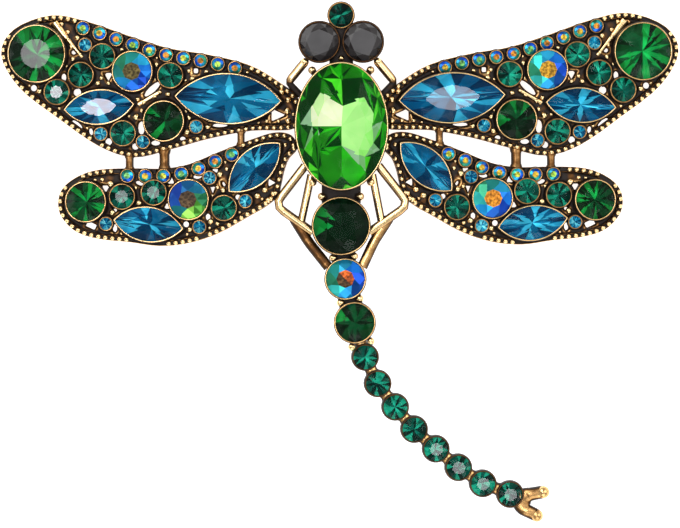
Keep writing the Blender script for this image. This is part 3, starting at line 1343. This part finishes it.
def between(first, second, out, side):
    """The place at one side that is as far out from two neighbouring settings."""
    a, b = reach_of(first) + out, reach_of(second) + out
    step = flat_middle(second) - flat_middle(first)
    c = np.linalg.norm(step)
    along = (a * a - b * b + c * c) / (2 * c)
    return flat_middle(first) + along * step / c + side * math.sqrt(a * a - along * along) * left_of(step) / c


# %% Straps from setting to setting
# Columns: from, to, width, height. They lie in shadow, so they are dull.
STRAPS = [
    ("head_stone", "thorax_stone", 3.4, 1.2), ("left_eye", "right_eye", 3.4, 1.15),
    ("thorax_stone", "waist_stone", 5.6, 1.5), ("waist_stone", "abdomen_opal_stone", 3.4, 1.2),
    ("abdomen_opal_stone", "abdomen_green_stone", 3.4, 1.2),
]
STRAP_BACK, STRAP_SHINE = 0.1, 0.1
STRAP_INSIDE = 0.7


def strap(first, second, width, top):
    """A short bar from one setting to the next, which stops inside their walls."""
    a, b = flat_middle(first), flat_middle(second)
    along = unit(b - a)
    start, stop = (
        np.linalg.norm([along @ s["along"][:2] * s["half"][0], along @ s["across"][:2] * s["half"][1]])
        for s in (stones[first][0], stones[second][0]))
    line = [a + (start - STRAP_INSIDE) * along, b - (stop - STRAP_INSIDE) * along]
    return bar(line, width, STRAP_BACK, top, on_body, STRAP_SHINE, 0)


body = [strap(*row) for row in STRAPS]
print("straps:", len(body))

# %% Legs and grains of the body
KNEE = (9.55, -11.2)
LEG_WIDTH = 1.25
LEG_BACK = 0.3
# Directions from the thorax, in degrees from those to the head and to the tail. The front leg has
# three points, each with how far it is outside the setting.
PEG, HIND_LEG, THIGH = 35, 52, 41
FRONT_LEG = [(36, 2.1), (57, 2.3), (61, -0.1)]
# How far below the eyes the grain of the collar lies.
COLLAR_DROP = 2.34
CHAIN = ["waist_stone", "abdomen_opal_stone", "abdomen_green_stone", "tail_stone_1"]


def leg(line, share, top, shine=1.0):
    """A bar of the body whose width is a share of the usual one, or a few."""
    return bar(line, LEG_WIDTH * np.asarray(share), LEG_BACK, top, on_body, shine)


# Grains are a place, a radius and a height.
grains = [(np.array([centre_x, flat_middle("left_eye")[1] - COLLAR_DROP]), 0.45, 1.3)]
for s in (-1, 1):
    pegs = (90 - s * PEG, -90 + s * PEG)
    grains += [(round_thorax(turn, 0.5), 0.6, 1.4) for turn in pegs]
    grains.append((flat_middle("waist_stone") + 5.0 * way(90 - s * 33), 0.6, 1.7))
    grains += [(between(a, b, 0.45, s), 0.57, 1.6) for a, b in zip(CHAIN[:-1], CHAIN[1:])]
    body += [bar([round_thorax(turn, -0.1), round_thorax(turn, 0.7)], 0.9, STRAP_BACK, 1.1, on_body,
                 STRAP_SHINE, 0) for turn in pegs]
    knee = np.array([centre_x + s * KNEE[0], KNEE[1]])
    foot = round_stone("waist_stone", -90 + s * 77, -0.15)
    front = [round_thorax(90 - s * turn, out) for turn, out in FRONT_LEG]
    body += [
        leg(front, [1, 1, 0.8, 0.8], [1.75, 1.75, 1.5, 1.45], [1, 1, 0.9, 0.15, 0.1, 0.1]),
        leg([round_thorax(-90 + s * HIND_LEG, -0.1), knee, foot], 1, 1.85),
        leg([round_thorax(-90 + s * THIGH, -0.1), 0.32 * knee + 0.68 * foot], 0.9, 1.65),
        leg([0.5 * knee + 0.5 * foot, round_stone("waist_stone", -90 + s * 64, 0.95),
             round_stone("abdomen_opal_stone", 90 - s * 55, -0.1)], 1.2, 1.45, 0.55 + 0.15 * s),
    ]
    grains.append((front[0], 0.6, 1.3))
places, radii, heights = (np.array(column) for column in zip(*grains))
body.append(copies(GRAIN, on_body(places, heights), radii))
metal_piece("body_strap_and_legs", body)

# %% Tail: strap and fork
# The strap is a web from setting to setting: narrow in its middle and wide at its ends, where it is
# also lower. Lengths are in mm, and its width grows with this power of the distance from the middle.
WEB = {"narrow": 1.75, "flare": 1.3, "power": 2.2, "top": 1.3, "drop": 0.5, "inside": 0.5, "points": 13}
WEB_SHINE, FORK_SHINE, BALL_POLISH = 0.75, 0.62, 0.72
FORK_HEADING = -30
# Heading and share of the length of each prong, and the heading of its bend.
FORK = [(-44.6, 0.92, -74), (21.7, 1.0, 42)]
FORK_LENGTH = 3.3
FORK_WIDTHS, FORK_TOPS = [2.6, 2.2, 1.9, 1.8], [1.2, 1.4, 1.5]
FORK_ROOT, FORK_BEND = 0.3, 1.3
FORK_BALL = 0.9


def flat_tail(stone):
    """Middle of a stone of the tail in the plane of the tail, before it droops."""
    out = stone["middle"] - [tail_hinge[0], tail_hinge[1] + origin[1], origin[2]]
    away = out[:2] @ tail_way * math.cos(tail_droop) - out[2] * math.sin(tail_droop)
    aside = out[:2] - (out[:2] @ tail_way) * tail_way
    return tail_hinge + aside + away * tail_way


tail_names = [f"tail_stone_{k}" for k in range(1, 9)]
chatons = [flat_middle("abdomen_green_stone")] + [flat_tail(stones[n][0]) for n in tail_names]
halves = [stones[n][0]["half"][0] for n in ("abdomen_green_stone", "tail_stone_8")]
tail = []
for k, (a, b) in enumerate(zip(chatons[:-1], chatons[1:])):
    along = unit(b - a)
    start, stop = (half - WEB["inside"] for half in (halves[min(k, 1)], halves[1]))
    line = np.linspace(a + start * along, b - stop * along, WEB["points"])
    share = np.abs(np.linspace(-1, 1, WEB["points"]))
    width, top = WEB["narrow"] + WEB["flare"] * share ** WEB["power"], WEB["top"] - WEB["drop"] * share**2
    tail.append(bar(line, width, STRAP_BACK, top, on_tail, WEB_SHINE, 0))
root = chatons[-1] + reach_of("tail_stone_8") * way(FORK_HEADING)
ends = [root + share * FORK_LENGTH * way(turn) for turn, share, _ in FORK]
for end, (*_, bend) in zip(ends, FORK):
    line = [root - FORK_ROOT * way(FORK_HEADING), root + FORK_BEND * way(bend), end]
    tail.append(bar(line, FORK_WIDTHS, 0.15, FORK_TOPS, on_tail, FORK_SHINE, 3))
balls = copies(ball(12, 20), on_tail(np.array(ends), FORK_BALL), FORK_BALL)
balls["polish"] = np.full_like(balls["polish"], BALL_POLISH)
metal_piece("tail_strap_and_fork", tail + [balls])

# %% [markdown]
# ## The studio
# The floor is a sheet of pale acrylic lit from below, so the gaps show white and there is no shadow.
# A tent of soft light stands over it, brighter overhead and along its foot than half way up, which
# gives the facets something light and something dark to show. Three windows, two to the left and one
# to the right, stand where the turned tables mirror them.

# %% The floor and the tent
FLOOR_HALF = 3000.0
TENT = [(0.0, 0.6), (0.35, 0.75), (0.7, 0.25), (0.92, 0.45), (0.99, 0.8)]
square = FLOOR_HALF * np.array([[-1, -1, 0], [1, -1, 0], [1, 1, 0], [-1, 1, 0]], float)
floor_mesh = mesh_of("floor", square, np.array([[0, 1, 2, 3]]), np.empty((0, 3), int))
floor_material, _, shader, _ = new_material("pale_floor")
set_inputs(shader, Base_Color=(0.8, 0.8, 0.8, 1), Roughness=0.9, Emission_Color=(1, 1, 1, 1),
           Emission_Strength=0.85)
floor_mesh.materials.append(floor_material)
floor = put("floor", floor_mesh)

world = bpy.data.worlds.new("tent")
bpy.context.scene.world = world
world.use_nodes = True
tree = world.node_tree
split = tree.nodes.new("ShaderNodeSeparateXYZ")
tree.links.new(tree.nodes.new("ShaderNodeTexCoord").outputs["Generated"], split.inputs["Vector"])
tent = ramp(tree, TENT)
tree.links.new(split.outputs["Z"], tent.inputs["Fac"])
tree.links.new(tent.outputs["Color"], tree.nodes["Background"].inputs["Color"])
print("floor and tent:", floor.name, world.name)

# %% Lamps
WHITE, FAINT_PINK = (1.0, 1.0, 1.0), (1.0, 0.93, 1.0)
# Columns: place and size in metres, power in watts, colour.
LAMPS = {
    "window": (WINDOW, 0.26, 2.6, FAINT_PINK),
    "dim window": (DIM_WINDOW, 0.26, 0.85, (1.0, 0.95, 1.0)),
    "side window": (SIDE_WINDOW, 0.12, 0.2, FAINT_PINK),
    "key": ((-0.55, 0.6, 0.9), 0.85, 7, WHITE),
    "fill": ((0.75, 0.25, 0.8), 0.85, 5, WHITE),
    "front": ((0.1, -0.9, 0.6), 0.85, 4, WHITE),
}
for name, (place, size, power, colour) in LAMPS.items():
    # A square soft lamp that looks at the brooch.
    light = bpy.data.lights.new(name, "AREA")
    light.size = size
    light.energy = power
    light.color = colour
    stand = put(name, light)
    stand.location = place
    stand.rotation_euler = (-Vector(place)).to_track_quat("-Z", "Y").to_euler()
    stand.visible_camera = False
print("lamps:", *LAMPS)

# %% Camera
# Width of the view and shift of the camera in mm, its height in metres, its roll in degrees.
VIEW_WIDTH = 97.14
VIEW_SHIFT = (-0.1, -0.3)
CAMERA_HEIGHT = 3.0
VIEW_ROLL = 0.24
SENSOR = 36
camera = bpy.data.cameras.new("camera")
camera.sensor_width = SENSOR
camera.lens = SENSOR * CAMERA_HEIGHT / (VIEW_WIDTH * MM)
camera.clip_end = 20
eye = put("camera", camera)
eye.location = (VIEW_SHIFT[0] * MM, VIEW_SHIFT[1] * MM, CAMERA_HEIGHT)
eye.rotation_euler = (0, 0, -math.radians(VIEW_ROLL))
bpy.context.scene.camera = eye
bpy.context.scene.view_settings.view_transform = "Standard"
print(f"camera: {camera.lens:.0f} mm")
